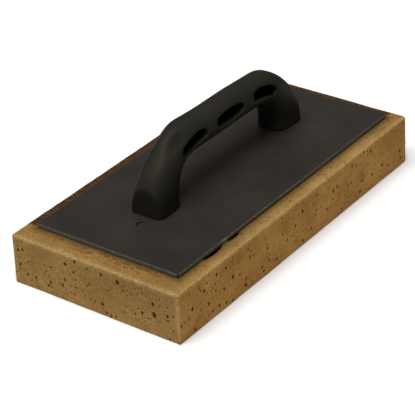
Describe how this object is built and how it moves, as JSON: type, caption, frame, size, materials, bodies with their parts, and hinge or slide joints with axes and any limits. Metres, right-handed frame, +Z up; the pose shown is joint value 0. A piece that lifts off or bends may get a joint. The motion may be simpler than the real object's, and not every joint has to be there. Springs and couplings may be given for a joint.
{
  "type": "sponge grout float",
  "caption": "Hand float for washing grout: a thick foam pad glued under a flat plastic plate, with a bridge handle screwed on top.",
  "frame": {"origin": "middle of the foam pad's working face, which is the lowest plane of the object", "axes": "+X along the pad and the handle, from the thumb end to the other end; +Y across the pad; +Z up, from the pad to the handle"},
  "size_m": [0.28, 0.14, 0.0947],
  "materials": {
    "foam": "open-cell hydro foam, honey beige, with scattered dark pores",
    "adhesive": "dried contact adhesive film",
    "plate_plastic": "charcoal moulded sheet, fine matte grain",
    "handle_plastic": "black injection-moulded plastic, fine satin texture",
    "screw_steel": "zinc-plated steel"
  },
  "bodies": {
    "root": {"sponge_pad": "foam", "adhesive_film": "adhesive", "backing_plate": "plate_plastic", "handle": "handle_plastic", "handle_screws": "screw_steel"}
  },
  "joints": []
}
